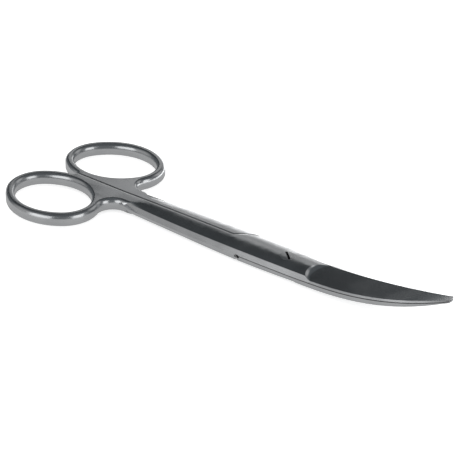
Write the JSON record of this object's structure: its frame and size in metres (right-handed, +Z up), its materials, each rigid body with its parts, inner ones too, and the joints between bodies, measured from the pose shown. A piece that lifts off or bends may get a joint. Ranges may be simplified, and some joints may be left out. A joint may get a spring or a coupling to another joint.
{
  "type": "curved dissecting scissors",
  "caption": "Surgical scissors with curved blunt blades, a lap joint on a flush slotted screw and two oval finger rings.",
  "frame": {"origin": "middle of the underside of the box around the closed scissors, on the surface they lie on", "axes": "+X along the scissors towards the tips, +Z up along the pivot axis, the way the tips curve"},
  "size_m": [0.1449, 0.0518, 0.0119],
  "materials": {
    "satin_steel": "satin",
    "screw_steel": "satin"
  },
  "bodies": {
    "lower": {"lower_half": "satin_steel", "pivot_screw": "screw_steel"},
    "upper": {"upper_half": "satin_steel"}
  },
  "joints": [
    {"name": "scissor_pivot", "type": "hinge", "parent": "lower", "child": "upper", "pos_m": [0.01876, 0, 0.00267], "axis": [0, 0, 1], "range_deg": [0, 60]}
  ]
}
